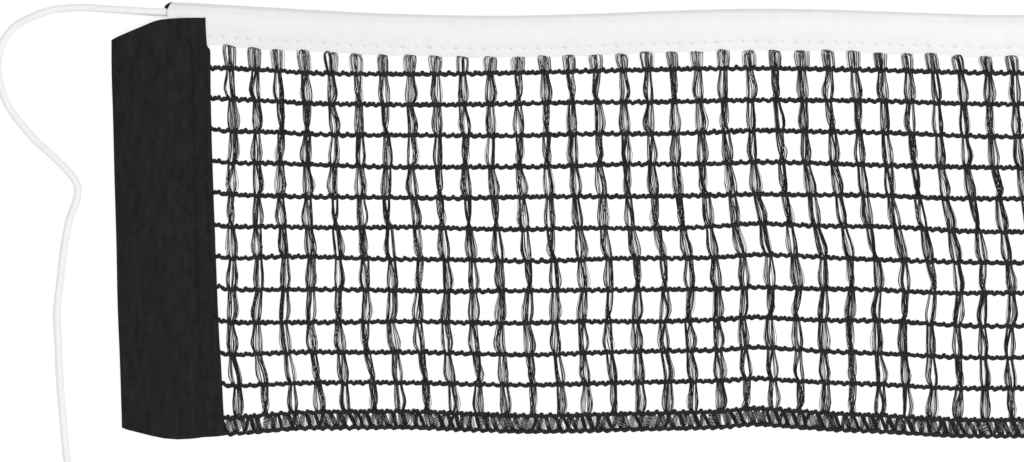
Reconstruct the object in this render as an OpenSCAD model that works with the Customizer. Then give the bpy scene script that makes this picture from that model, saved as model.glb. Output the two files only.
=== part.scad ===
// Table tennis net, laid flat: a knitted mesh hangs from a folded white tape. A draw cord
// runs through the tape, and a cloth sleeve sewn to each end takes the net post.
// X runs along the net, Y up its height, Z up off the surface it lies on. All in millimetres.

/* [Net] */
// Length over both sleeves
net_length = 1830; // [900:10:1830]
// Height from the foot of the hem to the top of the tape
net_height = 152.5; // [130:0.5:170]
// Gap between pieces that lie on each other
lay_gap = 0.1; // [0.05:0.05:0.2]

/* [Mesh] */
// Distance between the chain cords that run along the net
cell_height = 11.1; // [7.5:0.1:12.5]
// Distance between the looped yarns that run up the net
cell_width = 9.3; // [7.5:0.1:12.5]
// One looped yarn in this many is modelled; at 1 the mesh is whole and slow to build
loop_step = 9; // [1:1:20]
// Diameter of a chain cord
chain_d = 1.4; // [1:0.1:2]
// Diameter of a looped yarn
yarn_d = 0.9; // [0.6:0.1:1.1]
// Distance between the two legs of a looped yarn
loop_width = 2.4; // [1.6:0.1:3]
// From the top of the tape down to the first chain cord
first_chain_drop = 23.8; // [19:0.1:26]
// From a sleeve's inner edge to the first looped yarn
first_loop_inset = 4.8; // [3:0.1:9]
// How far a loop reaches up between the layers of the tape
loop_reach = 2; // [1:0.1:4]

/* [Hem] */
// Distance between the hem's two chain cords
hem_height = 5.4; // [4:0.1:8]
// Thickness of the closely knitted band between them
hem_t = 0.9; // [0.6:0.1:1.1]

/* [Tape] */
// Height of the folded tape
tape_height = 15; // [13:0.5:17]
// Thickness of one layer of the tape
tape_t = 0.5; // [0.3:0.1:0.8]
// From a sleeve's fold to the end of the tape
tape_inset = 18.5; // [17:0.5:22]

/* [Draw cord] */
// Diameter of the cord
cord_d = 2.7; // [2:0.1:3]
// From the top of the tape down to the middle of the cord
cord_drop = 4.2; // [3.8:0.1:4.4]
// Gap above and below the cord inside the tape
cord_gap = 0.4; // [0.35:0.05:0.6]
// How far the straight cord stands out of each end of the tape
cord_overhang = 1; // [0.5:0.5:3]
// Turns that each stopper knot takes round the cord
knot_turns = 2.5; // [1.5:0.5:4]
// Gap between the turns of a knot
knot_turn_gap = 0.5; // [0.45:0.05:0.8]
// Gap between the turns of a knot and the cord inside them
knot_core_gap = 0.2; // [0.1:0.05:0.4]

/* [Sleeves] */
// Width of a sleeve from its fold to its inner edge
sleeve_width = 34.5; // [32:0.5:40]
// Thickness of the sleeve's cloth
cloth_t = 0.6; // [0.4:0.1:0.8]
// Width of the post pocket from the fold to the first seam
pocket_width = 27; // [24:0.5:28]
// Height of the post pocket between the two layers of cloth
pocket_depth = 5; // [4.5:0.1:8]
// Where the pocket's upper layer starts to fall towards the seam
pocket_crown = 14; // [12:0.5:16]
// From the top of the tape down to the top edge of a sleeve
sleeve_drop = 6.2; // [6.1:0.1:8]
// Width of the cut across the outer top corner
corner_cut_width = 16; // [12:0.5:17]
// Height of the cut across the outer top corner
corner_cut_height = 7; // [2:0.5:12]
// Width of the cut across the outer bottom corner
foot_cut_width = 10; // [4:0.5:16]
// Height of the cut across the outer bottom corner
foot_cut_height = 2.8; // [1:0.2:6]
// How far the under layer shows past the end of the tape
tab_overhang = 2.2; // [1:0.1:3]
// From the top of the tape down to the top of the under layer
tab_drop = 0.5; // [0.5:0.1:2]

/* [Hidden] */
$fn = 32;
curve_steps = 10;
tube_sides = 8;
knot_rings = 16;

// Edges of the net
fold_x = net_length / 2;
top_y = net_height / 2;
foot_y = -net_height / 2;
sleeve_inner_x = fold_x - sleeve_width;
tape_end_x = fold_x - tape_inset;
tape_foot_y = top_y - tape_height;
sleeve_top_y = top_y - sleeve_drop;

// Levels off the surface: under cloth, tape and chain cords, looped yarns, tape, upper cloth
web_z = cloth_t + lay_gap;
chain_z = web_z + chain_d / 2;
yarn_z = web_z + chain_d + lay_gap + yarn_d / 2;
tape_roof_z = yarn_z + yarn_d / 2 + lay_gap;
hem_band_z = web_z + chain_d + lay_gap;
flange_z = max(tape_roof_z + tape_t, hem_band_z + hem_t) + lay_gap;
pocket_z = cloth_t + pocket_depth;

// The fold of the tape, with the cord below it. The tape's upper layer rises over the cord
// from just inside the sleeve's top edge.
fold_r = cord_d / 2 + cord_gap + tape_t;
fold_y = top_y - fold_r;
cord_y = top_y - cord_drop;
cord_z = web_z + fold_r;
cord_end_x = tape_end_x + cord_overhang;
rise_inset = 0.4;
rise_y = sleeve_top_y - rise_inset;

// Chain cords and hem. The chain cords end between the sleeve's layers, clear of the pocket.
chain_end_gap = 0.5;
chain_end_x = fold_x - pocket_width - chain_end_gap;
first_chain_y = top_y - first_chain_drop;
hem_foot_y = foot_y + chain_d / 2;
hem_head_y = hem_foot_y + hem_height;
chain_count = 1 + floor((first_chain_y - hem_head_y - chain_d) / cell_height);

// Looped yarns, spread evenly between the sleeves
first_loop_x = sleeve_inner_x - first_loop_inset;
loop_count = 1 + round(2 * first_loop_x / (cell_width * loop_step));
loop_pitch = 2 * first_loop_x / (loop_count - 1);
loop_crown_y = tape_foot_y + loop_reach - yarn_d / 2 - loop_width / 2;
loop_foot_y = hem_head_y + lay_gap;

// A knot's turns lie round the cord, so the cord lifts where the knot rests on the surface
knot_r = cord_d + knot_core_gap;
knot_pitch = cord_d + knot_turn_gap;
knot_length = knot_turns * knot_pitch;
knot_z = knot_r + cord_d / 2;
rest_z = cord_d / 2;

// Route of the free tail from the left end of the straight cord, and of the stub from its
// right end: distance along X and along Y, then the height off the surface
tail_route = [
    [0, 0, cord_z], [-6, 0.3, cord_z], [-12, 0.65, cord_z], [-20, 1.2, 2.4],
    [-29, 1.85, 1.6], [-35, 1.6, rest_z], [-41.5, 0.7, rest_z], [-48, -1.8, rest_z],
    [-54, -5.5, rest_z], [-58, -11.5, rest_z], [-59.2, -19, rest_z], [-58, -26, rest_z],
    [-55, -33.5, rest_z],
    [-47, -43.5, rest_z], [-40.5, -49.5, rest_z], [-34.5, -55.5, rest_z],
    [-31.5, -60, rest_z], [-31.5, -65, rest_z], [-34, -72, rest_z], [-35.5, -79, rest_z],
    [-36.5, -86, rest_z], [-37.5, -95, rest_z], [-38.5, -105, rest_z],
    [-38, -116, rest_z], [-37.5, -128, rest_z], [-36.5, -140, rest_z],
    [-35.5, -151, rest_z], [-34.5, -159, 2.2], [-34, -165, knot_z],
    [-34, -171, knot_z], [-34, -179, knot_z]];
stub_route = [
    [0, 0, cord_z], [5, 0, cord_z], [10, 0, cord_z], [14, 0, 3.4], [18, 0, 4],
    [22, 0, knot_z], [28, 0, knot_z], [35, 0, knot_z]];
// Where each knot begins, from the same end of the straight cord
tail_knot_start = [-34, -166];
stop_knot_start = [23, 0];

// Eases from 0 to 1 as t goes from 0 to 1
function ease(t) = (1 - cos(180 * t)) / 2;

function unit(v) = v / norm(v);

function reversed(list) = [for (i = [len(list) - 1 : -1 : 0]) list[i]];

// A point between b and c on the smooth curve through a, b, c and d
function curve_point(a, b, c, d, t) =
    0.5 * (2 * b + (c - a) * t + (2 * a - 5 * b + 4 * c - d) * t * t
           + (3 * b - a - 3 * c + d) * t * t * t);

// The route with one point added in the middle of each of its stretches
function smooth_route(route) = concat(
    [for (i = [0 : len(route) - 2], t = [0, 0.5])
        curve_point(route[max(i - 1, 0)], route[i], route[i + 1],
                    route[min(i + 2, len(route) - 1)], t)],
    [route[len(route) - 1]]);

function path_direction(path, i) =
    unit(path[min(i + 1, len(path) - 1)] - path[max(i - 1, 0)]);

// Points of a helix round the Z axis
function helix(r, pitch, turns) =
    [for (i = [0 : knot_rings * turns])
        [r * cos(360 * i / knot_rings), r * sin(360 * i / knot_rings), pitch * i / knot_rings]];

// Smallest distance between points that lie half a turn or more apart, less the diameter
function least_gap(path, d) = min([
    for (i = [0 : len(path) - 1], j = [i + knot_rings / 2 : 1 : len(path) - 1])
        norm(path[j] - path[i])]) - d;

// A round tube along a path; normals point to where each ring starts
module tube(path, normals, d) {
    last = len(path) - 1;
    points = [
        for (i = [0 : last])
            let (along = path_direction(path, i),
                 across = unit(cross(along, normals[i])),
                 up = cross(across, along))
            for (k = [0 : tube_sides - 1])
                path[i] + d / 2 * (cos(360 * k / tube_sides) * up
                                   + sin(360 * k / tube_sides) * across)];
    walls = [
        for (i = [0 : last - 1], k = [0 : tube_sides - 1])
            let (a = i * tube_sides + k,
                 b = i * tube_sides + (k + 1) % tube_sides)
            each [[a, a + tube_sides, b], [b, a + tube_sides, b + tube_sides]]];
    first_cap = [for (k = [1 : tube_sides - 2]) [0, k, k + 1]];
    end = last * tube_sides;
    last_cap = [for (k = [1 : tube_sides - 2]) [end, end + k + 1, end + k]];
    polyhedron(points, concat(walls, first_cap, last_cap));
}

module cord_on_surface(route) {
    path = smooth_route(route);
    tube(path, [for (p = path) [0, 0, 1]], cord_d);
}

// Turns of cord wound round the Z axis from the origin
module knot() {
    path = helix(knot_r, knot_pitch, knot_turns);
    echo(least_gap_between_turns = least_gap(path, cord_d));
    tube(path, [for (p = path) [p.x, p.y, 0]], cord_d);
}

// A chain cord along X, centred
module chain(y) {
    translate([-chain_end_x, y, chain_z]) rotate([0, 90, 0])
        cylinder(h = 2 * chain_end_x, d = chain_d);
}

// A yarn doubled into a loop: two legs joined by a half ring at the top
module looped_yarn(x) {
    translate([x, 0, yarn_z]) {
        for (side = [-1, 1])
            translate([side * loop_width / 2, loop_foot_y, 0]) rotate([-90, 0, 0])
                cylinder(h = loop_crown_y - loop_foot_y, d = yarn_d);
        translate([0, loop_crown_y, 0])
            rotate_extrude(angle = 180) translate([loop_width / 2, 0]) circle(d = yarn_d);
    }
}

// A layer of cloth drawn as a strip of thickness t on top of a line
module layer(line, t) {
    polygon(concat(line, reversed([for (p = line) p + [0, t]])));
}

// Half a ring on the side of +X, from the origin's point of view
module half_ring(r, t) {
    intersection() {
        difference() {
            circle(r = r);
            circle(r = r - t);
        }
        translate([0, -r]) square([r, 2 * r]);
    }
}

// The tape across its height: Y is drawn as X, and Z as Y
module tape_profile() {
    fold_roof_z = cord_z + fold_r - tape_t;
    translate([tape_foot_y, web_z]) square([fold_y - tape_foot_y, tape_t]);
    translate([fold_y, cord_z]) half_ring(fold_r, tape_t);
    layer(concat(
        [[tape_foot_y, tape_roof_z]],
        [for (i = [0 : curve_steps])
            let (t = i / curve_steps)
            [rise_y + t * (cord_y - rise_y),
             tape_roof_z + (fold_roof_z - tape_roof_z) * ease(t)]],
        [[fold_y, fold_roof_z]]), tape_t);
}

// The sleeve across its width, with the fold at the origin: Z is drawn as Y
module sleeve_profile() {
    bend_r = pocket_depth / 2 + cloth_t;
    translate([bend_r, 0]) square([sleeve_width - bend_r, cloth_t]);
    translate([bend_r, bend_r]) mirror([1, 0]) half_ring(bend_r, cloth_t);
    layer(concat(
        [[bend_r, pocket_z]],
        [for (i = [0 : curve_steps])
            let (t = i / curve_steps)
            [pocket_crown + t * (pocket_width - pocket_crown),
             pocket_z - (pocket_z - flange_z) * ease(t)]],
        [[sleeve_width, flange_z]]), cloth_t);
}

// The sleeve at the left end; its pocket runs up the net and is open at both ends
module sleeve() {
    above = 2 * (pocket_z + cloth_t);
    past = 1;
    translate([-fold_x, 0, 0]) {
        difference() {
            translate([0, sleeve_top_y, 0]) rotate([90, 0, 0])
                linear_extrude(sleeve_top_y - foot_y) sleeve_profile();
            translate([0, sleeve_top_y, -above / 2]) linear_extrude(above)
                polygon([[0, -corner_cut_height], [corner_cut_width, 0],
                         [corner_cut_width, past], [-past, past],
                         [-past, -corner_cut_height]]);
            translate([0, foot_y, -above / 2]) linear_extrude(above)
                polygon([[0, foot_cut_height], [-past, foot_cut_height], [-past, -past],
                         [foot_cut_width, -past], [foot_cut_width, 0]]);
        }
        linear_extrude(cloth_t)
            polygon([[tape_inset - tab_overhang, sleeve_top_y],
                     [tape_inset, top_y - tab_drop],
                     [sleeve_width, top_y - tab_drop],
                     [sleeve_width, sleeve_top_y - past],
                     [tape_inset - tab_overhang, sleeve_top_y - past]]);
    }
}

module chain_cords() {
    color("#1d1f21")
    for (i = [0 : chain_count - 1]) chain(first_chain_y - i * cell_height);
}

module looped_yarns() {
    color("#26282a")
    for (i = [0 : loop_count - 1]) looped_yarn(-first_loop_x + i * loop_pitch);
}

module hem_upper_chain() {
    color("#1d1f21") chain(hem_head_y);
}

module hem_lower_chain() {
    color("#1d1f21") chain(hem_foot_y);
}

// The knitted band lies on the hem's chain cords and reaches to their outer edges
module hem_band() {
    color("#26282a")
    translate([-chain_end_x, hem_foot_y - chain_d / 2, hem_band_z])
        cube([2 * chain_end_x, hem_height + chain_d / 2, hem_t]);
}

module top_tape() {
    color("#eef0f2")
    translate([-tape_end_x, 0, 0]) rotate([90, 0, 90])
        linear_extrude(2 * tape_end_x) tape_profile();
}

module draw_cord() {
    color("#f4f4f2")
    translate([-cord_end_x, cord_y, cord_z]) rotate([0, 90, 0])
        cylinder(h = 2 * cord_end_x, d = cord_d);
}

module cord_tail() {
    color("#f4f4f2") translate([-cord_end_x, cord_y, 0]) cord_on_surface(tail_route);
}

module tail_knot() {
    color("#f4f4f2")
    translate([-cord_end_x + tail_knot_start.x, cord_y + tail_knot_start.y, knot_z])
        rotate([90, 0, 0]) knot();
}

module cord_stub() {
    color("#f4f4f2") translate([cord_end_x, cord_y, 0]) cord_on_surface(stub_route);
}

module stop_knot() {
    color("#f4f4f2")
    translate([cord_end_x + stop_knot_start.x, cord_y + stop_knot_start.y, knot_z])
        rotate([0, 90, 0]) knot();
}

module left_sleeve() {
    color("#242628") sleeve();
}

module right_sleeve() {
    color("#242628") mirror([1, 0, 0]) sleeve();
}

chain_cords();
looped_yarns();
hem_upper_chain();
hem_lower_chain();
hem_band();
top_tape();
draw_cord();
cord_tail();
tail_knot();
cord_stub();
stop_knot();
left_sleeve();
right_sleeve();
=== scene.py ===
"""Table tennis net laid flat: looped netting, white top tape, black end sleeves and the draw cord.

Lengths in this file are millimetres, turned into metres where a mesh is made. u runs along the
net from its left end, y across it and z up from what it lies on.
"""
import math

import bpy
import numpy as np
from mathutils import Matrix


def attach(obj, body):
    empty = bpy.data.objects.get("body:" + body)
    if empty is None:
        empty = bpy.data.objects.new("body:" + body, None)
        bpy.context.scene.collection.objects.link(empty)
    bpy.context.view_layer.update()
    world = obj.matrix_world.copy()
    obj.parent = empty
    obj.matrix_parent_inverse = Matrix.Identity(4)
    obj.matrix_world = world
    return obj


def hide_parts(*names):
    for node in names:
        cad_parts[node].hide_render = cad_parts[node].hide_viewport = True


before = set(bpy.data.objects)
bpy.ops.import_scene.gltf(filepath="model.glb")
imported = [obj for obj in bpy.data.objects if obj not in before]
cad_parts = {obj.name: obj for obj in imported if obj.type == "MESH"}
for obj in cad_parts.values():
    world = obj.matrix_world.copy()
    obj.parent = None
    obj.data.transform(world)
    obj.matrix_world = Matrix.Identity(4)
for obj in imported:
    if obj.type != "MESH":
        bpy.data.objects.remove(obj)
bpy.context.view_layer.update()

MM = 0.001
TURN = 2 * math.pi

# ---- Sizes, most of them as in the part's source ----
SPAN = 1830.0
CELLS = 11
CELL_WIDTH = 9.267
LADDERS = 190
FIRST_LADDER = 39.3
TAPE_END = 18.5
TAPE_HEIGHT = 14.9
FOLD_X = SPAN / 2  # from the left sleeve's fold to the middle of the net
CORD_D = 2.7
CORD_Y = 72.05
CORD_Z = 2.95
CORD_END = FOLD_X - TAPE_END + 1.0  # the straight run stands a little out of the tape
REST_Z = CORD_D / 2
KNOT_R = 2.9
KNOT_Z = KNOT_R + REST_Z
WEB_INSET = 29.5  # where the chains end inside the sleeves
SEEN = 330.0  # the camera sees the net up to here; the yarns beyond are drawn more plainly

# ---- Camera: straight down on the left end ----
VIEW_WIDTH = 358.0
VIEW_CENTRE = (-776.9, -4.2)
VIEW_LEVEL = 1.5
LENS = 100.0
SENSOR = 36.0

camera_data = bpy.data.cameras.new("camera")
camera_data.lens = LENS
camera_data.sensor_width = SENSOR
camera_data.clip_start = 0.01
camera = bpy.data.objects.new("camera", camera_data)
camera.location = (
    VIEW_CENTRE[0] * MM,
    VIEW_CENTRE[1] * MM,
    (VIEW_WIDTH * LENS / SENSOR + VIEW_LEVEL) * MM,
)
bpy.context.collection.objects.link(camera)
bpy.context.scene.camera = camera


# ---- How the net lies ----
def through(pairs, at):
    """A smooth line through (place, value) pairs, level at both ends."""
    place, value = (np.array(c, float) for c in zip(*pairs))
    slope = np.zeros(len(place))
    slope[1:-1] = (value[2:] - value[:-2]) / (place[2:] - place[:-2])
    at = np.clip(np.asarray(at, float), place[0], place[-1])
    k = np.clip(np.searchsorted(place, at, side="right") - 1, 0, len(place) - 2)
    gap = place[k + 1] - place[k]
    t = (at - place[k]) / gap
    rise = eased(t)
    return (
        value[k] * (1 - rise)
        + value[k + 1] * rise
        + gap * (slope[k] * t * (1 - t) ** 2 - slope[k + 1] * t * t * (1 - t))
    )


def straight(pairs, at):
    """Straight stretches through (place, value) pairs."""
    return np.interp(at, *zip(*pairs))


def eased(t):
    """From 0 to 1 as t goes from 0 to 1, level at both ends."""
    return t * t * (3 - 2 * t)


# Each line gives y, or a shift, against a place: u for edges and lifts, a ladder's number for
# drifts, leans and sways, and a row for ROW_SWAY
TAPE_TOP = (
    (0, 76.2), (22, 76.0), (39, 75.1), (53, 74.3), (68, 73.4), (96, 72.05), (134, 71.35),
    (165, 72.05), (193, 73.1), (222, 73.8), (250, 73.45), (281, 72.4), (312, 71.6), (390, 72.9),
    (510, 71.9), (650, 73.3), (800, 72.3), (950, 73.1), (1100, 72.0), (1250, 73.2), (1400, 72.1),
    (1530, 73.0), (1650, 72.2), (1740, 73.2), (1790, 75.0), (1808, 76.0), (1830, 76.2),
)
FIRST_CHAIN = (
    (30, 52.7), (48, 52.2), (57, 51.7), (66, 51.0), (97, 50.7), (139, 51.1), (170, 51.9),
    (200, 52.7), (224, 52.8), (262, 52.1), (310, 51.0), (390, 52.3), (510, 51.3), (650, 52.7),
    (800, 51.7), (950, 52.5), (1100, 51.4), (1250, 52.6), (1400, 51.5), (1530, 52.4),
    (1650, 51.6), (1740, 52.6), (1800, 52.7),
)
HEM_FOOT = (
    (30, -75.3), (36, -75.4), (41, -75.5), (50, -74.75), (64, -73.7), (85, -73.4),
    (104, -73.4), (122, -74.1), (143, -74.8), (160, -74.6), (178, -74.1), (200, -73.6),
    (212, -73.2), (223, -72.2), (236, -73.1), (251, -74.1), (268, -74.8), (282, -75.7),
    (296, -76.3), (320, -76.2), (400, -74.6), (540, -75.8), (680, -74.4), (830, -75.6),
    (990, -74.5), (1140, -75.7), (1290, -74.4), (1430, -75.5), (1560, -74.3), (1690, -75.3),
    (1770, -74.4), (1800, -75.8),
)
UPPER_LIFT = (
    (29, 0.85), (45, 0.6), (64, 0.5), (105, 0.1), (162, 0.15), (197, -0.5), (228, -0.1),
    (270, 0.35), (309, 0.3), (340, 0.0),
)
LOWER_LIFT = (
    (29, 0.3), (40, 0.1), (60, -0.55), (110, -0.6), (162, 0.0), (228, -0.3), (270, 0.1),
    (340, 0.0),
)
HEM_HEIGHT = 5.5
HEM_INSET = 0.55
TOP_DRIFT = (
    (0, 0.2), (2, -1.2), (5, -1.6), (9, -1.8), (12, -0.9), (15, -1.4), (19, -3.4), (24, -3.7),
    (31, -3.6), (60, -1.5), (110, 1.4), (150, -0.8), (189, 0.0),
)
FOOT_DRIFT = (
    (0, 2.7), (2, 3.6), (8, 3.8), (14, 4.5), (20, 4.5), (31, 4.3), (60, 1.5), (110, -1.2),
    (150, 1.0), (189, -2.4),
)
ROW_SWAY = (
    (0, 0.0), (1, 0.45), (2, 0.8), (3, 0.4), (4, 0.15), (5, -0.1), (6, 0.05), (7, -0.25), (8, -1.3),
    (9, -0.75), (10, 0.3), (11, 0.2),
)
HEAD_LEAN = (
    (0, -0.55), (3, -0.65), (6, -0.3), (9, 0.1), (12, -0.3), (14, -0.85), (18, -0.45), (22, -0.55),
    (25, -0.75), (29, -1.3), (34, -0.9), (60, -0.2), (110, -0.5), (150, -0.1), (189, -0.3),
)
LONG_SWAY = (
    (0, 0.0), (7, -0.2), (12, -0.6), (17, 0.1), (22, 0.75), (27, 1.4), (33, 1.5), (70, -0.6),
    (110, 0.8), (150, -0.7), (189, 0.0),
)
WANDER = ((0.22, 23.0, 1.9), (0.16, 9.1, 4.3))  # how far, over what length, and the turn a row
SAG = 0.35
SLEEVE_EDGE = 33.2  # the sleeve's inner edge at the first chain, and its lean a row
EDGE_LEAN = 0.38
EDGE_PULL = 0.6  # how far the sleeve's seam turns the chains up, and over what length
PULL_LENGTH = 1.4
LEAN_STARTS = 0.15  # shares of the way down the net
LEAN_LASTS = 0.57
SETTLED = 12  # ladders from the sleeve


def row_y(u, row):
    """y of chain row 0 to 10, or of the hem's upper chain at 11."""
    first = through(FIRST_CHAIN, u)
    head = through(HEM_FOOT, u) + HEM_INSET + HEM_HEIGHT
    wander = sum(far * np.sin(u / length + row * turn) for far, length, turn in WANDER)
    held = np.sin(np.pi * np.clip(row / CELLS, 0, 1))
    lift = through(UPPER_LIFT, u) * np.interp(row, (0, 1, 7, 8.5), (0.3, 1, 1, 0))
    lift += through(LOWER_LIFT, u) * np.interp(row, (6.5, 8, 10, 11), (0, 1, 0.7, 0))
    from_sleeve = np.clip(np.minimum(u, SPAN - u) - SLEEVE_EDGE - EDGE_LEAN * row, 0, None)
    pull = EDGE_PULL * np.exp(-from_sleeve / PULL_LENGTH)
    lift += pull * np.interp(row, (1, 2, 10, 11), (0, 1, 1, 0))
    return first + (head - first) * row / CELLS + (wander - SAG) * held + lift


def ladder_u(index, row):
    """u of a ladder at a row: it leans over from its place at the top to its place at the foot."""
    share = row / CELLS
    top, foot = through(TOP_DRIFT, index), through(FOOT_DRIFT, index)
    late = np.clip((share - LEAN_STARTS) / LEAN_LASTS, 0, 1)
    settled = np.clip(index / SETTLED, 0, 1)
    lean = (1 - settled) * share**2 + settled * eased(late)
    sway = straight(ROW_SWAY, row) + through(LONG_SWAY, index) * np.sin(np.pi * share)
    return FIRST_LADDER + CELL_WIDTH * index + top + (foot - top) * lean + sway


NUMBERS = np.arange(-4, LADDERS + 4)  # of the ladders, with a few past each end


def ladder_at(u, row):
    """The number of the ladder at u, with its fraction."""
    return np.interp(u, ladder_u(NUMBERS, row), NUMBERS)


def between_ladders(number, row):
    """u at a ladder's number and a fraction of the way to the next."""
    return np.interp(number, NUMBERS, ladder_u(NUMBERS, row))


# ---- Meshes ----
def place(points):
    """Points (u, y, z) in mm to metres in the shared frame."""
    points = np.array(points, float)
    points[..., 0] -= FOLD_X
    return points * MM


def new_piece(name, points, faces, finish, body, *nodes):
    """A piece from points in metres, on a body and in the place of CAD nodes."""
    mesh = bpy.data.meshes.new(name)
    mesh.from_pydata(points.tolist(), [], faces)
    mesh.polygons.foreach_set("use_smooth", [len(face) == 4 for face in faces])  # end caps are flat
    mesh.update()
    piece = bpy.data.objects.new(name, mesh)
    bpy.context.collection.objects.link(piece)
    mesh.materials.append(MATERIALS[finish])
    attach(piece, body)
    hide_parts(*nodes)
    return piece


def tube_faces(count, long, sides):
    """Side faces of tubes of so many rings each, then a cap at each one's start and end."""
    base = (np.arange(count)[:, None, None] * long + np.arange(long - 1)[:, None]) * sides
    here, after = np.arange(sides), (np.arange(sides) + 1) % sides
    quads = np.stack([base + here, base + after, base + sides + after, base + sides + here], -1)
    start = np.arange(count)[:, None] * long * sides
    faces = quads.reshape(-1, 4).tolist() + (start + here[::-1]).tolist()
    return faces + (start + (long - 1) * sides + here).tolist()


def frames(paths):
    """Unit vectors beside and over each point of the paths."""
    ahead = np.gradient(paths, axis=-2)
    ahead /= np.linalg.norm(ahead, axis=-1, keepdims=True)
    beside = np.cross(ahead, [0.0, 0.0, 1.0])
    beside /= np.maximum(np.linalg.norm(beside, axis=-1, keepdims=True), 1e-9)
    return beside, np.cross(beside, ahead)


def tubes(paths, radius, sides):
    """Points and faces of one tube along each path. paths is (tubes, points, 3)."""
    paths = np.asarray(paths, float)
    count, long = paths.shape[:2]
    beside, over = frames(paths)
    angle = np.arange(sides) * TURN / sides
    radius = np.broadcast_to(np.asarray(radius, float), (count, long))[..., None, None]
    ring = paths[:, :, None] + radius * (
        beside[:, :, None] * np.cos(angle)[:, None] + over[:, :, None] * np.sin(angle)[:, None]
    )
    return ring.reshape(-1, 3), tube_faces(count, long, sides)


def joined(parts):
    """Several (points, faces) as one."""
    points, faces, offset = [], [], 0
    for some, ring in parts:
        points.append(some)
        faces += [[k + offset for k in face] for face in ring]
        offset += len(some)
    return np.concatenate(points), faces


# ---- Materials ----
MATERIALS = {}


def node(tree, kind, **values):
    made = tree.nodes.new(kind)
    for name, value in values.items():
        if hasattr(made, name):
            setattr(made, name, value)
        else:
            made.inputs[name.replace("_", " ")].default_value = value
    return made


def maths(tree, operation, *values):
    made = node(tree, "ShaderNodeMath", operation=operation)
    for k, value in enumerate(values):
        if isinstance(value, (int, float)):
            made.inputs[k].default_value = value
        else:
            tree.links.new(value, made.inputs[k])
    return made.outputs[0]


def fabric(
    name, dark, light, mottle, fibre, rough, specular, sheen, relief, thread=None, grain=(1, 1, 1)
):
    """Cloth or yarn: two tones mottled at two scales, fibre relief and, with thread, a weave whose
    relief is matched by painted shade in the gaps between its threads.

    mottle, fibre and thread are sizes in mm; grain stretches the mottling along each axis.
    """
    made = bpy.data.materials.new(name)
    made.use_nodes = True
    tree = made.node_tree
    shader = tree.nodes["Principled BSDF"]
    shader.inputs["Specular IOR Level"].default_value = specular
    shader.inputs["Sheen Weight"].default_value = sheen
    shader.inputs["Sheen Roughness"].default_value = 0.5
    where = node(tree, "ShaderNodeTexCoord").outputs["Object"]
    stretched = node(tree, "ShaderNodeMapping", Scale=grain)
    tree.links.new(where, stretched.inputs["Vector"])
    noises = []
    for size, detail in ((mottle, 3.0), (fibre, 2.0)):
        noise = node(tree, "ShaderNodeTexNoise", Scale=1000.0 / size, Detail=detail)
        tree.links.new(stretched.outputs["Vector"], noise.inputs["Vector"])
        noises.append(noise.outputs["Fac"])
    blotches = maths(tree, "MULTIPLY", noises[0], 0.55)
    tone = maths(tree, "ADD", blotches, maths(tree, "MULTIPLY", noises[1], 0.45))
    height = noises[1]
    if thread:
        split = node(tree, "ShaderNodeSeparateXYZ")
        tree.links.new(where, split.inputs[0])
        across, along = (
            maths(tree, "SINE", maths(tree, "MULTIPLY", split.outputs[k], math.pi * 1000 / thread))
            for k in (0, 1)
        )
        weave = maths(tree, "ABSOLUTE", maths(tree, "MULTIPLY", across, along))
        threads = maths(tree, "MULTIPLY", weave, 0.8)
        height = maths(tree, "ADD", threads, maths(tree, "MULTIPLY", height, 0.6))
        # painted shade: the tone is darker in the gaps between the threads and lighter on their
        # crowns, in step with the weave's relief
        gap_shade = maths(tree, "MULTIPLY", maths(tree, "SUBTRACT", weave, 0.4), 0.22)
        tone = maths(tree, "ADD", tone, gap_shade)
    ramp = node(tree, "ShaderNodeValToRGB")
    for stop, at, tint in zip(ramp.color_ramp.elements, (0.3, 0.72), (dark, light)):
        stop.position, stop.color = at, (*tint, 1)
    tree.links.new(tone, ramp.inputs["Fac"])
    tree.links.new(ramp.outputs["Color"], shader.inputs["Base Color"])
    tree.links.new(
        maths(tree, "ADD", maths(tree, "MULTIPLY", noises[1], 0.16), rough - 0.08),
        shader.inputs["Roughness"],
    )
    bump = node(tree, "ShaderNodeBump", Strength=relief, Distance=0.0002)
    tree.links.new(height, bump.inputs["Height"])
    tree.links.new(bump.outputs["Normal"], shader.inputs["Normal"])
    MATERIALS[name] = made


fabric(
    "mesh_yarn", dark=(0.012, 0.013, 0.014), light=(0.032, 0.034, 0.036),
    mottle=3.0, fibre=0.3, rough=0.8, specular=0.2, sheen=0.0, relief=0.3,
)
fabric(
    "sleeve_cloth", dark=(0.0073, 0.0083, 0.0095), light=(0.0220, 0.0236, 0.0262),
    mottle=3.2, fibre=0.6, rough=0.85, specular=0.12, sheen=0.0, relief=0.6,
    thread=0.55, grain=(1.5, 0.5, 1.0),
)
fabric(
    "tape_cloth", dark=(0.828, 0.848, 0.843), light=(0.887, 0.902, 0.897),
    mottle=6.0, fibre=0.5, rough=0.75, specular=0.3, sheen=0.0, relief=0.25, thread=0.45,
)
fabric(
    "cord", dark=(0.87, 0.87, 0.86), light=(0.94, 0.94, 0.93),
    mottle=2.0, fibre=0.25, rough=0.7, specular=0.2, sheen=0.8, relief=0.25,
)


# ---- Draw cord ----
def smooth_route(points, finer):
    """Catmull-Rom through the route, with finer steps a stretch."""
    points = np.array(points, float)
    ends = np.concatenate([[2 * points[0] - points[1]], points, [2 * points[-1] - points[-2]]])
    t = np.arange(finer)[:, None] / finer
    line = []
    for a, b, c, d in zip(ends, ends[1:], ends[2:], ends[3:]):
        square, cube = 2 * a - 5 * b + 4 * c - d, 3 * b - a - 3 * c + d
        line.append(0.5 * (2 * b + (c - a) * t + square * t**2 + cube * t**3))
    return np.concatenate([*line, points[-1:]])


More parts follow.
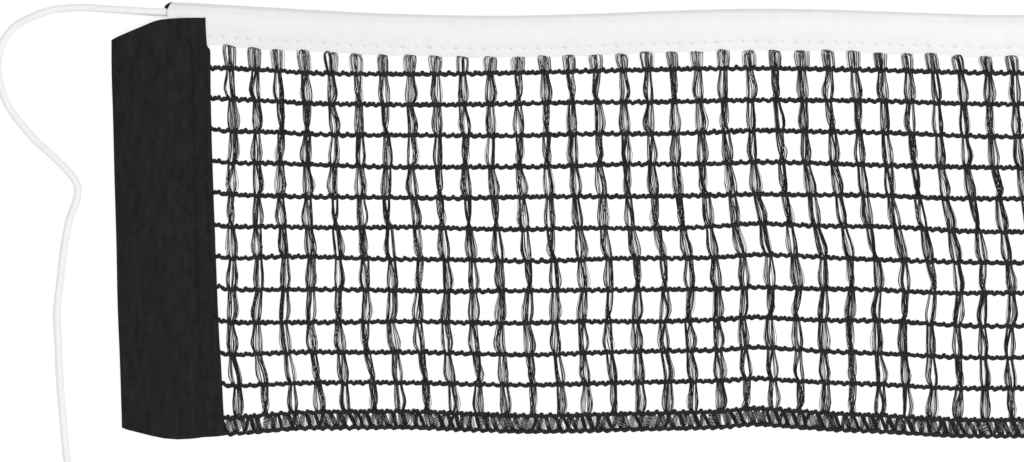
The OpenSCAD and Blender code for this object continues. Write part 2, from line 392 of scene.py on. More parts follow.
def even(line, step):
    """The same line in steps of one length."""
    far = np.concatenate([[0], np.cumsum(np.linalg.norm(np.diff(line, axis=0), axis=1))])
    at = np.linspace(0, far[-1], max(int(round(far[-1] / step)), 2) + 1)
    return np.stack([np.interp(at, far, line[:, k]) for k in range(3)], 1), far[-1]


CARRIERS = 8  # yarns that show round the cord
PLAIT = 5.2  # length in which a yarn goes half round it
PLAIT_START = 0.125  # a piece starts between crossings, so that run and tail match where they meet
YARN_DIP = 0.045  # how far the surface dips between yarns, as a share of the radius
TIP = (0.45, 0.75, 0.92)  # how the first rings of a rounded end widen


def braided(line, step=0.45, sides=24, tips=(True, True)):
    """A braided cord along a line in mm: two sets of yarns cross over its surface."""
    line, length = even(np.asarray(line, float), step)
    beside, over = frames(line)
    far = np.linspace(0, length, len(line))[:, None]
    angle = np.arange(sides)[None] * TURN / sides
    turned = TURN * (far / PLAIT * 2 + PLAIT_START)
    left = np.sin(CARRIERS * angle / 2 + turned)
    right = np.sin(CARRIERS * angle / 2 - turned)
    yarns = np.maximum(np.abs(left), np.abs(right))
    swell = CORD_D / 2 * (1 - YARN_DIP + YARN_DIP * yarns)
    ends = np.ones(len(line))
    for k, share in enumerate(TIP):
        if tips[0]:
            ends[k] = share
        if tips[1]:
            ends[-1 - k] = share
    swell = (swell * ends[:, None])[..., None]
    ring = line[:, None] + swell * (
        beside[:, None] * np.cos(angle)[..., None] + over[:, None] * np.sin(angle)[..., None]
    )
    return ring.reshape(-1, 3), tube_faces(1, len(line), sides), line, length


# The routes of the cord's free ends in the part's source, from where each leaves the tape
TAIL = (
    (0, 0, CORD_Z), (-6, 0.3, CORD_Z), (-12, 0.65, CORD_Z), (-20, 1.2, 2.4), (-29, 1.85, 1.6),
    (-35, 1.6, REST_Z), (-41.5, 0.7, REST_Z), (-48, -1.8, REST_Z), (-54, -5.5, REST_Z),
    (-58, -11.5, REST_Z), (-59.2, -19, REST_Z), (-58, -26, REST_Z), (-55, -33.5, REST_Z),
    (-47, -43.5, REST_Z), (-40.5, -49.5, REST_Z), (-34.5, -55.5, REST_Z),
    (-31.5, -60, REST_Z), (-31.5, -65, REST_Z), (-34, -72, REST_Z), (-35.5, -79, REST_Z),
    (-36.5, -86, REST_Z), (-37.5, -95, REST_Z), (-38.5, -105, REST_Z),
    (-38, -116, REST_Z), (-37.5, -128, REST_Z), (-36.5, -140, REST_Z),
    (-35.5, -151, REST_Z), (-34.5, -159, 2.2), (-34, -165, KNOT_Z),
    (-34, -171, KNOT_Z), (-34, -179, KNOT_Z),
)
STUB = (
    (0, 0, CORD_Z), (5, 0, CORD_Z), (10, 0, CORD_Z), (14, 0, 3.4), (18, 0, 4),
    (22, 0, KNOT_Z), (28, 0, KNOT_Z), (35, 0, KNOT_Z),
)
KNOT_TURNS = 2.5
KNOT_PITCH = 3.2
KNOT_CORE = 0.35  # share of its radius at which the winding starts and ends inside the knot
KNOT_LEAD = 0.07  # share of the winding in which it comes out


def knot_line(start, ahead, beside):
    """A stopper knot's turns round the cord: they leave its core and go back into it."""
    turn = np.linspace(0, 1, 140)
    angle = turn * KNOT_TURNS * TURN
    out = np.clip(np.minimum(turn, 1 - turn) / KNOT_LEAD, 0, 1) ** 0.7
    reach = KNOT_R * (KNOT_CORE + (1 - KNOT_CORE) * out)
    line = np.array(start, float) + np.outer(turn * KNOT_TURNS * KNOT_PITCH, ahead)
    line = line + np.outer(reach * np.cos(angle), beside)
    return line + np.outer(reach * np.sin(angle), (0, 0, 1))


for name, knot, exit_x, route, start, ahead, beside in (
    ("tail", "tail_knot", -CORD_END, TAIL, (-34, -166, KNOT_Z), (0, -1, 0), (1, 0, 0)),
    ("stub", "stop_knot", CORD_END, STUB, (23, 0, KNOT_Z), (1, 0, 0), (0, 1, 0)),
):
    origin = np.array([exit_x, CORD_Y, 0])
    line = smooth_route(route, 10) + origin
    points, faces, middle, length = braided(line, tips=(False, True))
    piece = new_piece(f"cord_{name}_rope", points * MM, faces, "cord", "draw_cord", f"cord_{name}")
    points, faces, _, _ = braided(knot_line(start + origin, ahead, beside))
    wound = new_piece(f"cord_{name}_knot", points * MM, faces, "cord", "draw_cord", knot)

# The cord inside the tape: in line with the tail at its ends, then down into the tape's fold
RUN_START = FOLD_X - CORD_END
RUN_LEAN = 0.05
RUN_DROP = 4.95
RUN_SINK = 0.08
RUN_SETTLES = 14.0  # length in which it gets there
run_u = np.linspace(RUN_START, SPAN - RUN_START, 700)
inside = np.minimum(run_u - run_u[0], run_u[-1] - run_u)
share = eased(np.clip(inside / RUN_SETTLES, 0, 1))
run_y = (CORD_Y - RUN_LEAN * inside) * (1 - share) + (through(TAPE_TOP, run_u) - RUN_DROP) * share
run = np.stack([run_u - FOLD_X, run_y, CORD_Z - RUN_SINK * share], 1)
points, faces, _, _ = braided(run, step=1.0, tips=(False, False))
new_piece("cord_run_rope", points * MM, faces, "cord", "draw_cord", "draw_cord")


# ---- Top tape ----
# How far below the fold and how high, down each leaf of the tape from the fold
BACK_LEAF = (
    (0.75, 1.7), (1.2, 1.38), (1.9, 1.2), (3.2, 1.12), (5.0, 1.1), (7.0, 1.05), (9.0, 1.0),
    (10.6, 0.95), (12.0, 0.9), (13.2, 0.9), (14.6, 0.95),
)
FRONT_LEAF = (
    (0.58, 2.02), (0.64, 2.22), (0.8, 2.5), (1.0, 2.82), (1.2, 3.14), (1.4, 3.45), (1.6, 3.7),
    (1.8, 3.86), (2.1, 3.99), (2.7, 4.24), (3.4, 4.48), (4.0, 4.65), (4.35, 4.71), (5.1, 4.76),
    (6.0, 4.76), (7.0, 4.66), (8.0, 4.46), (9.0, 4.18), (10.0, 3.86), (10.8, 3.6), (11.3, 3.42),
    (11.6, 3.31), (11.85, 3.22), (12.05, 3.15), (12.25, 3.08), (12.5, 3.0), (13.0, 2.83),
    (13.8, 2.56), (14.5, 2.31), (14.84, 2.18), (14.9, 2.16),
)
TAPE_PROFILE = BACK_LEAF[::-1] + FRONT_LEAF
STITCH_DROP = 12.0
# Where the needle went in, as shares of the way from one ladder to the next, and how deep
HOLES = ((0.21, 0.75), (0.71, 1.2))
HOLE_WIDE = 0.6
HOLE_HIGH = 0.34
GROOVE = 0.03  # along the row of stitches
GROOVE_WIDE = 0.7
LOOP_PULL = 0.5  # how far the yarns' loops draw the lower edge up
MOUTH_LONG = 24.0  # the tape's mouths stand open round the cord
MOUTH_FADE = 12.0
MOUTH_LIFT = 0.3
MOUTH_DROP = 3.1
MOUTH_WIDE = 1.5
CORNER_CUT = 1.4  # how far the tape's end is set in at the fold, and how that fades down it
CORNER_FADE = 2.3
END_BULGE = 0.55  # how far the end stands out below that
TAPE_CLOTH = 0.42
TAPE_STEP = 0.44
TAPE_FAR_STEP = 3.2
# A seed, and the waves' sizes with how far each moves the cloth
EDGE_RIPPLES = (3, ((31, 0.09), (12, 0.05)))
TAPE_RIPPLES = (4, ((38, 0.05), (14, 0.035), (6.5, 0.02)))


def ripples(u, d, seed, sizes):
    """Soft random relief from a few crossing waves, the same on each run."""
    rng = np.random.default_rng(seed)
    total = np.zeros(np.broadcast(u, d).shape)
    for size, amount in sizes:
        for _ in range(3):
            lean, start = rng.uniform(-0.6, 0.6), rng.uniform(0, TURN)
            long = size * rng.uniform(0.8, 1.25)
            total += amount * np.sin((u + lean * d) * TURN / long + start)
    return total


def tape_front(d):
    """Height of the tape's front cloth, d below the fold."""
    return straight(FRONT_LEAF, d)


def grid_faces(rows, columns):
    """Faces of a sheet whose points lie in rows and columns."""
    k = (np.arange(rows - 1)[:, None] * columns + np.arange(columns - 1)).reshape(-1)
    return np.stack([k, k + 1, k + columns + 1, k + columns], -1).tolist()


def thicken(piece, amount):
    """Give a sheet its cloth's thickness, half to each side."""
    solid = piece.modifiers.new("cloth", "SOLIDIFY")
    solid.thickness = amount * MM
    solid.offset = 0.0
    solid.use_even_offset = True


def stitches(name, starts, ends, lift, radius, finish, *nodes):
    """Short thread stitches, each arched from its start to its end."""
    starts, ends = np.asarray(starts, float), np.asarray(ends, float)
    t = np.array([0.0, 0.12, 0.35, 0.65, 0.88, 1.0])
    paths = starts[:, None] + (ends - starts)[:, None] * t[:, None]
    paths[..., 2] += lift * np.sin(np.pi * t) ** 0.6 - 0.08
    points, faces = tubes(paths, radius, 5)
    return new_piece(name, place(points), faces, finish, "net", *nodes)


def tape_points(at):
    """The tape's cloth at places along the net, from the back leaf's foot over the fold."""
    drop, lift = (np.array(c)[None] for c in zip(*TAPE_PROFILE))
    u = np.repeat(at[:, None], drop.shape[1], 1)
    front = np.clip((np.arange(drop.shape[1]) - len(BACK_LEAF)) / 3, 0, 1)[None]
    index = ladder_at(u, 0)
    y = through(TAPE_TOP, u) - drop
    y += np.clip(drop / TAPE_HEIGHT, 0, 1) * ripples(u, 0, *EDGE_RIPPLES)
    caught = (0.5 + 0.5 * np.cos(TURN * (index + 0.12))) ** 1.5
    y += LOOP_PULL * caught * np.clip((drop - 13) / 1.9, 0, 1)
    z = lift + front * ripples(u, drop, *TAPE_RIPPLES)
    below = drop - STITCH_DROP
    for share, deep in HOLES:
        away = (index - share + 0.5) % 1 * CELL_WIDTH - CELL_WIDTH / 2
        z -= front * deep * np.exp(-((away / HOLE_WIDE) ** 2) - (below / HOLE_HIGH) ** 2)
    z -= front * GROOVE * np.exp(-((below / GROOVE_WIDE) ** 2))
    from_left, from_right = u - TAPE_END, SPAN - TAPE_END - u
    mouth = eased(np.clip((MOUTH_LONG - np.minimum(from_left, from_right)) / MOUTH_FADE, 0, 1))
    z += front * MOUTH_LIFT * mouth * np.exp(-(((drop - MOUTH_DROP) / MOUTH_WIDE) ** 2))
    inward = np.clip(CORNER_CUT - drop / CORNER_FADE, 0, CORNER_CUT) - END_BULGE
    u = u + inward * (np.clip(1 - from_left / 6, 0, 1) - np.clip(1 - from_right / 6, 0, 1))
    return np.stack([u, y, z], -1)


near = np.arange(TAPE_END, SEEN, TAPE_STEP)
far = np.arange(SEEN, SPAN - TAPE_END, TAPE_FAR_STEP)
points = tape_points(np.concatenate([near, far, [SPAN - TAPE_END]]))
tape = new_piece(
    "top_tape_cloth",
    place(points.reshape(-1, 3)),
    grid_faces(*points.shape[:2]),
    "tape_cloth",
    "net",
    "top_tape",
)
thicken(tape, TAPE_CLOTH)

holes = [between_ladders(NUMBERS + share, 0) for share, _ in HOLES]
holes = np.sort(np.concatenate(holes))
holes = holes[(holes > TAPE_END + 1) & (holes < SPAN - TAPE_END - 1)]
seam_z = np.full(len(holes), tape_front(STITCH_DROP) + 0.06)
seam = np.stack([holes, through(TAPE_TOP, holes) - STITCH_DROP, seam_z], 1)
starts, ends = seam[:-1] + [0.2, 0, 0], seam[1:] - [0.2, 0, 0]
stitches("tape_seam", starts, ends, lift=0.09, radius=0.11, finish="tape_cloth")

TACK_REACH = 0.62  # half the length of a tack's threads, which is also their pitch down the tape
TACK_SLANT = 0.3
tack_d = np.arange(0.9, 13.5, TACK_REACH)
for side, tack_u in (("left", TAPE_END + 2.0), ("right", SPAN - TAPE_END - 2.0)):
    tack_y = through(TAPE_TOP, tack_u) - tack_d
    tack_z = tape_front(tack_d) + 0.2
    starts = np.stack([np.full(len(tack_d), tack_u - TACK_REACH), tack_y, tack_z], 1)
    ends = starts + [2 * TACK_REACH, -TACK_SLANT, 0]
    stitches(f"tape_tack_{side}", starts, ends, lift=0.06, radius=0.12, finish="tape_cloth")


# ---- Netting ----
# Three yarns a ladder meet in a knot at each chain and belly out between the knots
NODE_STRAY = 0.22
NODE_HALF = 0.9
SWAP_CHANCE = 0.2  # that the two outer yarns change sides
BULGE = (1.12, 1.6)  # how far the outer yarns stand off their ladder, and where they swap
SWAP_BULGE = 0.8
THIRD_BULGE = (0.2, 1.1)
BELLY_STRAY = 0.32
# Half the width of a yarn's fan of filaments: at a knot, least between knots, and most added to it
NODE_FAN = 0.34
BELLY_FAN = 0.42
MORE_FAN = (0.5, 0.5, 0.8)
YARN_Z = (0.45, 0.75, 1.0)
HEM_Z = 0.75
LOWEST, HIGHEST = 0.22, 1.5
# Each ladder's two loops, which reach up to the tape's lower edge
LOOP_FEET = ((-1.35, 0.1), (-0.15, 1.35))
LOOPS_APART = 0.8
LOOP_HALF = (0.9, 1.45)
LOOP_FAN = (0.35, 0.8)
LOOP_RISE = 0.85


def ladder_paths(first, last, filaments, steps, seed):
    """Filaments of ladders first to last, below the first chain, and their loops above it."""
    rng = np.random.default_rng(seed)
    index = np.arange(first, last)
    count = len(index)
    rows = np.arange(CELLS + 1)
    node_u = ladder_u(index[:, None], rows[None]) + rng.normal(0, NODE_STRAY, (count, CELLS + 1))
    node_y = row_y(node_u, rows[None])
    t = np.arange(steps) / steps
    ease, belly = eased(t), np.sin(np.pi * t**1.7)
    sign = np.cumprod(np.where(rng.random((count, CELLS + 1)) < SWAP_CHANCE, -1.0, 1.0), 1)
    third = rng.uniform(-0.5, 0.5, sign.shape)
    knot = np.stack([sign * NODE_HALF, -sign * NODE_HALF, third], 1)
    knot += rng.normal(0, 0.12, knot.shape)
    same = sign[:, 1:] == sign[:, :-1]
    bulge = rng.uniform(*BULGE, (count, 2, CELLS))
    legs = np.stack([sign[:, :-1], -sign[:, :-1]], 1) * np.where(same[:, None], bulge, SWAP_BULGE)
    third = rng.choice([-1.0, 1.0], (count, 1, CELLS))
    third = third * rng.uniform(*THIRD_BULGE, (count, 1, CELLS))
    middle = np.concatenate([legs, third], 1) + BELLY_STRAY * rng.normal(0, 1, (count, 1, CELLS))
    more = np.array(MORE_FAN)[None, :, None] * rng.random((count, 3, CELLS)) ** 1.5
    spread = BELLY_FAN + more
    base = knot[..., :-1, None] * (1 - ease) + knot[..., 1:, None] * ease
    base += (middle - (knot[..., :-1] + knot[..., 1:]) / 2)[..., None] * belly
    own = np.linspace(-1, 1, filaments)[None, None, :, None]
    own = own + rng.normal(0, 0.2, (count, 3, filaments, CELLS))
    fan = (NODE_FAN + (spread[..., None] - NODE_FAN) * belly)[:, :, None]
    across = base[:, :, None] + own[..., None] * fan
    across += 0.05 * rng.normal(0, 1, across.shape) * belly
    centre_u = node_u[:, :-1, None] * (1 - t) + node_u[:, 1:, None] * t
    centre_y = node_y[:, :-1, None] * (1 - t) + node_y[:, 1:, None] * t
    shape = (count, 3, filaments, CELLS, steps)
    path_u = centre_u[:, None, None] + across
    path_y = np.broadcast_to(centre_y[:, None, None], shape)
    layer = np.array(YARN_Z)[None, :, None, None, None]
    path_z = layer + 0.22 * rng.normal(0, 1, (count, 3, filaments, CELLS, 1)) * belly
    paths = np.stack([path_u, path_y, np.broadcast_to(path_z, shape)], -1)
    paths = paths.reshape(count * 3 * filaments, CELLS * steps, 3)
    end_u = node_u[:, -1, None, None] + knot[:, :, -1, None] + 0.28 * own[:, :, :, -1]
    end_y = np.broadcast_to(node_y[:, -1, None, None], end_u.shape) - 0.3
    end = np.stack([end_u, end_y, np.full(end_u.shape, HEM_Z)], -1)
    paths = np.concatenate([paths, end.reshape(-1, 1, 3)], 1)
    paths[..., 2] = np.clip(paths[..., 2], LOWEST, HIGHEST)
    return paths, loop_heads(index, node_u[:, :1], node_y[:, :1], own[:, :2, :, :1], rng)


def loop_heads(index, first_u, first_y, own, rng):
    """The ladders' loops from the first chain up into the tape's seam."""
    count, filaments = len(index), own.shape[2]
    bend = np.linspace(0, 1, 13)
    crown = through(TAPE_TOP, first_u) - TAPE_HEIGHT + rng.normal(0.6, 0.4, (count, 2))
    half = rng.uniform(*LOOP_HALF, (count, 2))
    lean = through(HEAD_LEAN, index)[:, None] + rng.normal(0, 0.2, (count, 2))
    lean = lean + np.array([-LOOPS_APART, LOOPS_APART])
    slack = rng.normal(0, 1, (count, 2, filaments))
    rise = np.sin(np.pi * bend) ** 0.36
    foot = np.array(LOOP_FEET) + rng.normal(0, 0.2, (count, 2, 2))
    share = (1 - np.cos(np.pi * bend)) / 2
    low = foot[:, :, :1, None] * (1 - share) + foot[:, :, 1:, None] * share
    wide = half[..., None, None] * -np.cos(np.pi * bend)
    loop = low * (1 - rise) + (wide + lean[..., None, None]) * rise
    loop = np.broadcast_to(loop, (count, 2, filaments, len(bend)))
    loop = loop + rng.uniform(*LOOP_FAN, (count, 2, 1, 1)) * own
    foot_u, foot_y = first_u[..., None, None], first_y[..., None, None]
    loop_y = foot_y + (crown[..., None, None] - foot_y + 0.4 * slack[..., None]) * rise
    loop_z = HEM_Z + LOOP_RISE * rise + 0.12 * slack[..., None] * rise
    loops = np.stack([foot_u + loop, loop_y, np.broadcast_to(loop_z, loop.shape)], -1)
    return loops.reshape(-1, len(bend), 3)


STITCHES = 3  # to a cell
STITCH = CELL_WIDTH / STITCHES
STITCH_START = {"chain": -0.29, "hem": 4.36}  # how far a stitch has turned at a ladder
ZIGZAG = 0.26
CHAIN_Z = 1.05
KNIT_R = 0.43  # the yarn of a knitted chain's loops, how wide, long and high they are, their tilt
KNIT_WIDE = 0.51
KNIT_LONG = 0.7
KNIT_HIGH = 0.3
KNIT_TILT = 0.6
KNIT_UNEVEN = 0.11
KNIT_POINTS = 10
CORE_R = 0.5
CORE_Z = 0.95
PLY_R = 0.54  # the two plies of a plainly drawn chain, and how far each is off its middle
PLY_OFF = 0.3


def chain_sway(u, row, rng):
    """How far a chain's stitches lean off its line, in step with the ladders."""
    start = rng.uniform(0, TURN, 3)
    turn = STITCHES * TURN * ladder_at(u, row) + STITCH_START["hem" if row == CELLS else "chain"]
    turn += 0.45 * np.sin(u / 31 + start[0])
    lean = np.cos(turn) + 0.18 * np.cos(2 * turn + 0.8)
    uneven = 1 + 0.3 * np.sin(u / 7.3 + start[1])
    return -ZIGZAG * uneven * lean + 0.07 * np.sin(TURN * u / 5.3 + start[2])


def chain_paths(height, row, start, stop, step, seed):
    """A chain drawn plainly: two plies twisted round each other."""
    rng = np.random.default_rng(seed)
    u = np.arange(start, stop, step)
    middle = height(u) + chain_sway(u, row, rng)
    twist = np.pi * u / STITCH + rng.uniform(0, TURN)
    plies = []
    for turn in (twist, twist + np.pi):
        y, z = middle + PLY_OFF * np.cos(turn), CHAIN_Z + PLY_OFF * np.sin(turn)
        plies.append(np.stack([u, y, z], -1))
    return plies


def chain_loops(height, row, start, stop, seed):
    """A knitted chain: a yarn in loops that lie over each other, and one straight through them."""
    rng = np.random.default_rng(seed)
    pitch = STITCH / 2
    count = int((stop - start) / pitch)
    turn = np.arange(count * KNIT_POINTS) * TURN / KNIT_POINTS
    sizes = 1 + KNIT_UNEVEN * rng.normal(0, 1, count + 1)
    size = np.interp(turn / TURN, np.arange(count + 1), sizes)
    u = start + pitch * turn / TURN - KNIT_LONG * size * np.sin(turn)
    y = height(u) + chain_sway(u, row, np.random.default_rng(seed))
    y = y + KNIT_WIDE * size * np.cos(turn)
    loops = np.stack([u, y, CHAIN_Z + KNIT_HIGH * np.cos(turn + KNIT_TILT)], -1)
    u = np.linspace(start, stop, 2 * count)
    y = height(u) + chain_sway(u, row, np.random.default_rng(seed))  # the same sway as its loops
    return loops, np.stack([u, y, np.full(len(u), CORE_Z)], -1)


def hem_paths(start, stop, layers, seed):
    """The hem's slanting yarns between its two chains, one bundle of each layer to a stitch."""
    rng = np.random.default_rng(seed)
    paths = []
    t = np.linspace(0, 1, 5)
    arch = np.sin(np.pi * t)
    every = np.arange(-STITCHES, STITCHES * LADDERS + STITCHES) / STITCHES
    for lean, phase, filaments, fan, bow, z in layers:
        places = between_ladders(every + phase, CELLS)
        for u in places[(places > start) & (places < stop)]:
            u += rng.normal(0, 0.3)
            slant = lean + rng.normal(0, 0.45)
            reach = fan * rng.uniform(0.65, 1.3)
            bent = bow * rng.normal(0, 1)
            for own in np.linspace(-1, 1, filaments):
                x = u + slant * (t - 0.5) + bent * arch + own * reach * (0.6 + 0.4 * arch)
                y = through(HEM_FOOT, x) + HEM_INSET + HEM_HEIGHT * (1 - t)
                paths.append(np.stack([x, y, z + 0.12 * rng.normal(0, 1, len(t))], -1))
    return np.stack(paths)


# Ladders from and up to, filaments a yarn, points between two chains, a filament's radius
FINE, PLAIN = (10, 6, 0.108), (2, 4, 0.29)
YARN_BLOCKS = (
    (0, 12, *FINE), (12, 23, *FINE), (23, 34, *FINE),
    (34, 86, *PLAIN), (86, 138, *PLAIN), (138, LADDERS, *PLAIN),
)
YARN_SEED = 11
for number, (first, last, filaments, steps, radius) in enumerate(YARN_BLOCKS):
    paths, loops = ladder_paths(first, last, filaments, steps, YARN_SEED + number)
    points, faces = joined([tubes(paths, radius, 3), tubes(loops, 0.8 * radius, 3)])
    name = f"looped_yarns_{number + 1}"
    new_piece(name, place(points), faces, "mesh_yarn", "net", "looped_yarns")

LOOPED_BLOCKS = ((WEB_INSET, 180.0), (179.5, SEEN))
PLAIN_BLOCKS = ((SEEN - 0.5, 1080.0), (1079.0, SPAN - WEB_INSET))
PLAIN_STEP = 1.03


def chains(rows, block, seeds):
    """Points and faces of some chains over a block; rows are (row, height) pairs."""
    if block in LOOPED_BLOCKS:
        looped = [
            chain_loops(height, row, *block, seed) for (row, height), seed in zip(rows, seeds)
        ]
        loops, cores = zip(*looped)
        return joined([tubes(loops, KNIT_R, 4), tubes(cores, CORE_R, 4)])
    plain = [
        path
        for (row, height), seed in zip(rows, seeds)
        for path in chain_paths(height, row, *block, PLAIN_STEP, seed)
    ]
    return tubes(np.stack(plain), PLY_R, 3)


CHAIN_ROWS = [(row, lambda u, row=row: row_y(u, row)) for row in range(CELLS)]
CHAIN_BLOCKS = LOOPED_BLOCKS + PLAIN_BLOCKS
CHAIN_SEED = 100
for number, block in enumerate(CHAIN_BLOCKS):
    points, faces = chains(CHAIN_ROWS, block, range(CHAIN_SEED, CHAIN_SEED + CELLS))
    new_piece(f"chain_cords_{number + 1}", place(points), faces, "mesh_yarn", "net", "chain_cords")

for name, rise, seed in (("hem_upper_chain", HEM_HEIGHT, 31), ("hem_lower_chain", 0.0, 32)):
    hem_row = [(CELLS, lambda u, rise=rise: through(HEM_FOOT, u) + HEM_INSET + rise)]
    points, faces = joined([chains(hem_row, block, [seed]) for block in CHAIN_BLOCKS])
    new_piece(f"{name}_yarns", place(points), faces, "mesh_yarn", "net", name)

# Start, stop, a yarn's radius, and the layers, each with its slant, its place in the cell, the
# yarns to a bundle, half the bundle's width, how far it bows, and z
HEM_BLOCKS = (
    (
        WEB_INSET + 1, SEEN, 0.127,
        (
            (1.9, 0.18, 8, 0.85, 0.2, 0.75), (-1.1, 0.33, 6, 0.8, 0.35, 1.05),
            (1.4, 0.36, 5, 0.85, 0.3, 0.9),
        ),
    ),
    (
        SEEN, SPAN - WEB_INSET - 1, 0.2,
        ((1.9, 0.18, 5, 0.72, 0.2, 0.75), (-1.1, 0.33, 4, 0.8, 0.4, 1.05)),
    ),
)
HEM_SEED = 41
for number, (start, stop, radius, layers) in enumerate(HEM_BLOCKS):
    points, faces = tubes(hem_paths(start, stop, layers, HEM_SEED + number), radius, 3)
    name = f"hem_band_yarns_{number + 1}"
    new_piece(name, place(points), faces, "mesh_yarn", "net", "hem_band")


# ---- End sleeves ----
LEFT_EDGE = (
    (-76, 1.95), (-63, 1.63), (-50, 1.22), (-30, 0.42), (-8, -0.03), (15, -0.7), (36, -1.2),
    (50, -1.65), (62.6, -1.75), (71, -1.75),
)
FRONT_EDGE = (
    (-76, 37.7), (-63, 37.1), (-51, 36.5), (-40, 35.75), (-18, 34.85), (2, 34.1), (28, 33.2),
    (45, 32.85), (57.5, 32.75), (59.2, 32.6), (60.3, 31.75), (61.6, 31.5), (71, 31.35),
)
SLEEVE_TOP = ((0, 62.6), (0.06, 63.6), (0.47, 69.05), (0.54, 69.55), (0.75, 70.0), (1, 70.1))
SLEEVE_FOOT = (
    (0, -73.0), (0.04, -73.5), (0.3, -75.7), (0.42, -76.5), (0.55, -76.9), (0.68, -76.7),
    (0.8, -76.2), (0.92, -76.0), (1, -75.6),
)
POCKET = (  # height of the front leaf across the sleeve
    (0, 1.15), (0.02, 1.7), (0.06, 2.3), (0.15, 3.1), (0.3, 4.0), (0.44, 4.3), (0.58, 4.05),
    (0.7, 3.3), (0.77, 2.7), (0.8, 2.5), (0.85, 2.7), (0.91, 2.65), (0.96, 2.55), (1, 2.35),
)
SEAMS = ((0.787, 0.814), (0.90, 0.955))  # shares at the foot and at the top
STITCH_PITCH = 0.0206  # as a share of the way up the sleeve, and how much of it a stitch covers
STITCH_SHARE = 0.0155
SLEEVE_FOLD_Z = 1.15
SLEEVE_BACK_Z = 0.28
SLEEVE_CLOTH = 0.5
POCKET_GAPE = 0.5  # how far the pocket's upper mouth stands open
OVER_TAPE = 0.62  # from the tape's front to the sleeve that covers it
CREASE_IN = 2.3  # a crease along the fold
CREASE_WIDE = 0.4
CREASE_DEEP = 0.16
SEAM_DEEP = 0.34  # how far the stitches draw the cloth in, and how much that varies
SEAM_VARIES = 0.16
PUCKER = 0.07
SLEEVE_RIPPLES = (21, ((26, 0.08), (11, 0.07), (5, 0.035)))
TAB = (  # the under layer's corner, seen past the end of the tape
    (16.3, 74.2), (17.3, 75.2), (18.95, 76.0), (19.6, 75.6), (19.6, 70.0), (17.6, 69.4),
    (17.6, 73.0),
)
TAB_LEVELS = (0.3, 0.85)
TAB_EDGE = 0.15


def sleeve_y(share, climb):
    """y at a share of the way across the sleeve and a share of the way up it."""
    foot, top = straight(SLEEVE_FOOT, share), straight(SLEEVE_TOP, share)
    return foot + (top - foot) * climb


def sleeve_front(share, climb):
    """(u, y, z) of the front leaf: share 0 at the fold to 1 at the inner edge, climb up it."""
    y = sleeve_y(share, climb)
    left, inner = through(LEFT_EDGE, y), through(FRONT_EDGE, y)
    u = left + share * (inner - left)
    z = straight(POCKET, share)
    mouth = np.clip((y - 56) / 14, 0, 1)
    z = z + POCKET_GAPE * mouth * np.sin(np.pi * np.clip(share / 0.8, 0, 1))
    over = tape_front(through(TAPE_TOP, u) - y) + OVER_TAPE
    on_tape = eased(np.clip((u - 14.0) / 4.5, 0, 1) * np.clip((y - 58.5) / 2.5, 0, 1))
    z = z + np.maximum(over - z, 0) * on_tape
    soft = np.sin(np.pi * np.clip(share, 0, 1)) ** 0.5
    z = z + soft * ripples(u, y, *SLEEVE_RIPPLES)
    crease = np.exp(-(((u - left - CREASE_IN) / CREASE_WIDE) ** 2)) * np.clip((y - 5) / 30, 0, 1)
    z = z - CREASE_DEEP * crease
    for foot, top in SEAMS:
        seam = foot + (top - foot) * climb
        close = np.exp(-(((share - seam) / 0.016) ** 2))
        z = z - close * (SEAM_DEEP + SEAM_VARIES * np.cos(TURN * y / 3.0 + foot * 40))
        wide = np.exp(-(((share - seam) / 0.07) ** 2))
        z = z + wide * PUCKER * np.sin(TURN * y / 6.3 + foot * 9 + share * 9)
    return u, y, z


def sleeve_points():
    """The left sleeve's cloth, from the front leaf's inner edge round the fold to the back's."""
    shares = (np.linspace(1, 0.76, 34), np.linspace(0.74, 0.12, 34), np.linspace(0.11, 0.0, 14))
    climb = np.linspace(0, 1, 190)[:, None]
    front_leaf = np.stack(sleeve_front(np.concatenate(shares)[None], climb), -1)
    turn = np.linspace(0.3, 1.0, 5)[None]
    y = sleeve_y(0.0, climb)
    u = through(LEFT_EDGE, y) - 0.25 * np.sin(np.pi * turn) + 0.5 * turn
    fold = np.stack(np.broadcast_arrays(u, y, SLEEVE_FOLD_Z - 0.87 * turn), -1)
    back = np.linspace(0.04, 1, 36)[None]
    y = sleeve_y(back, climb)
    left, inner = through(LEFT_EDGE, y), through(FRONT_EDGE, y) - 0.5
    u = left + back * (inner - left)
    back_leaf = np.stack([u, y, np.full(y.shape, SLEEVE_BACK_Z)], -1)
    return np.concatenate([front_leaf, fold, back_leaf], 1)


def on_side(side, points):
    """The points of the left end, or their mirror image at the right end."""
    points = points.copy()
    if side == "right":
        points[..., 0] = SPAN - points[..., 0]
    return points


def seam_points(shift):
    """Where the left sleeve's stitches start, or end where shift is a stitch's share."""
    rows = []
    for foot, top in SEAMS:
        climb = np.arange(0.012, 0.985, STITCH_PITCH) + shift
        u, y, z = sleeve_front(foot + (top - foot) * climb, climb)
        rows.append(np.stack([u, y, z + 0.26], 1))
    return np.concatenate(rows)


def prism(outline, levels):
    """Points and faces between two levels of an outline."""
    points = np.concatenate([np.c_[outline, np.full(len(outline), z)] for z in levels])
    count = len(outline)
    faces = [list(range(count)), list(range(2 * count - 1, count - 1, -1))]
    faces += [[k, k + count, (k + 1) % count + count, (k + 1) % count] for k in range(count)]
    return points, faces


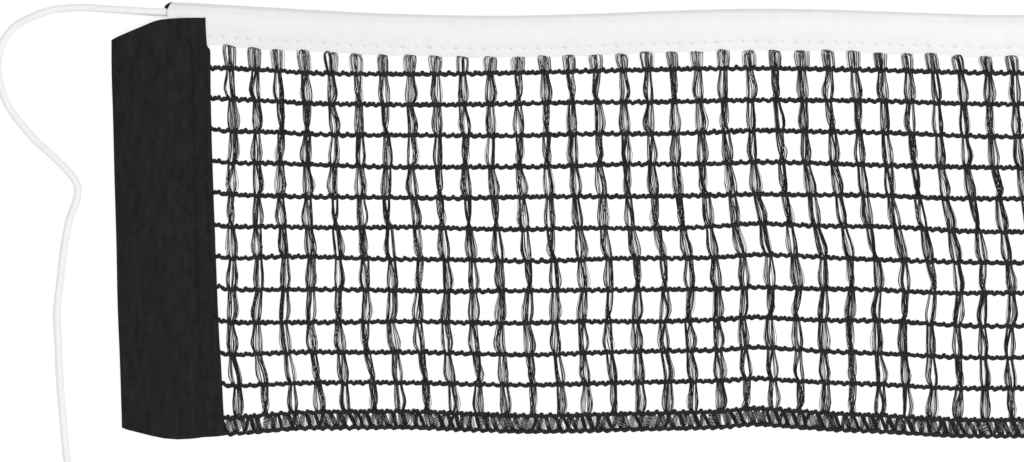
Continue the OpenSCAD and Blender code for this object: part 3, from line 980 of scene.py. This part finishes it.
left_cloth = sleeve_points()
left_seams = seam_points(0.0), seam_points(STITCH_SHARE)
left_tab, tab_faces = prism(np.array(TAB), TAB_LEVELS)
for side in ("left", "right"):
    points = on_side(side, left_cloth)
    sleeve = new_piece(
        f"{side}_sleeve_cloth",
        place(points.reshape(-1, 3)),
        grid_faces(*points.shape[:2]),
        "sleeve_cloth",
        "net",
        f"{side}_sleeve",
    )
    thicken(sleeve, SLEEVE_CLOTH)
    starts, ends = (on_side(side, seam) for seam in left_seams)
    name = f"{side}_sleeve_seams"
    stitches(name, starts, ends, lift=0.05, radius=0.15, finish="sleeve_cloth")
    points = place(on_side(side, left_tab))
    piece = new_piece(f"{side}_sleeve_tab", points, tab_faces, "sleeve_cloth", "net")
    soft_edge = piece.modifiers.new("edge", "BEVEL")
    soft_edge.width, soft_edge.segments = TAB_EDGE * MM, 2


# ---- Floor, light ----
FLOOR = 16.0  # metres from the middle to each edge
PAPER = 0.90
VEIL = 0.35  # what the camera sees of the floor: this much takes the shadow, and this much glows
GLOW = 0.72
SKY = 0.43
SUN = 1.62
SUN_WIDE = 40  # degrees
SUN_TILT = (5, 12)
SOFTBOX = 0.95
SOFTBOX_SIZE = 0.5  # metres
SOFTBOX_AT = (-0.35, -0.05, 0.6)

floor_mesh = bpy.data.meshes.new("floor")
corners = [(-FLOOR, -FLOOR, 0), (FLOOR, -FLOOR, 0), (FLOOR, FLOOR, 0), (-FLOOR, FLOOR, 0)]
floor_mesh.from_pydata(corners, [], [[0, 1, 2, 3]])
floor = bpy.data.objects.new("floor", floor_mesh)
bpy.context.collection.objects.link(floor)
paper = bpy.data.materials.new("floor")
paper.use_nodes = True
tree = paper.node_tree
tree.nodes.clear()
rays = node(tree, "ShaderNodeLightPath")
seen = maths(tree, "MAXIMUM", rays.outputs["Is Camera Ray"], rays.outputs["Is Glossy Ray"])
seen = maths(tree, "MAXIMUM", seen, rays.outputs["Is Transmission Ray"])
plain = node(tree, "ShaderNodeBsdfDiffuse", Color=(PAPER, PAPER, PAPER, 1))
veil = node(tree, "ShaderNodeBsdfDiffuse", Color=(VEIL, VEIL, VEIL, 1))
glow = node(tree, "ShaderNodeEmission", Color=(1, 1, 1, 1), Strength=GLOW)
both = node(tree, "ShaderNodeAddShader")
tree.links.new(veil.outputs[0], both.inputs[0])
tree.links.new(glow.outputs[0], both.inputs[1])
mix = node(tree, "ShaderNodeMixShader")
tree.links.new(seen, mix.inputs[0])
tree.links.new(plain.outputs[0], mix.inputs[1])
tree.links.new(both.outputs[0], mix.inputs[2])
tree.links.new(mix.outputs[0], node(tree, "ShaderNodeOutputMaterial").inputs["Surface"])
floor_mesh.materials.append(paper)

world = bpy.data.worlds.new("studio")
world.use_nodes = True
sky = world.node_tree.nodes["Background"]
sky.inputs["Color"].default_value = (1, 1, 1, 1)
sky.inputs["Strength"].default_value = SKY
bpy.context.scene.world = world

sun_data = bpy.data.lights.new("overhead", "SUN")
sun_data.energy = SUN
sun_data.angle = math.radians(SUN_WIDE)
sun = bpy.data.objects.new("overhead", sun_data)
sun.rotation_euler = (*(math.radians(tilt) for tilt in SUN_TILT), 0)
bpy.context.collection.objects.link(sun)

box_data = bpy.data.lights.new("softbox", "AREA")
box_data.energy = SOFTBOX
box_data.size = SOFTBOX_SIZE
box = bpy.data.objects.new("softbox", box_data)
box.location = SOFTBOX_AT
bpy.context.collection.objects.link(box)

bpy.context.scene.view_settings.view_transform = "Standard"
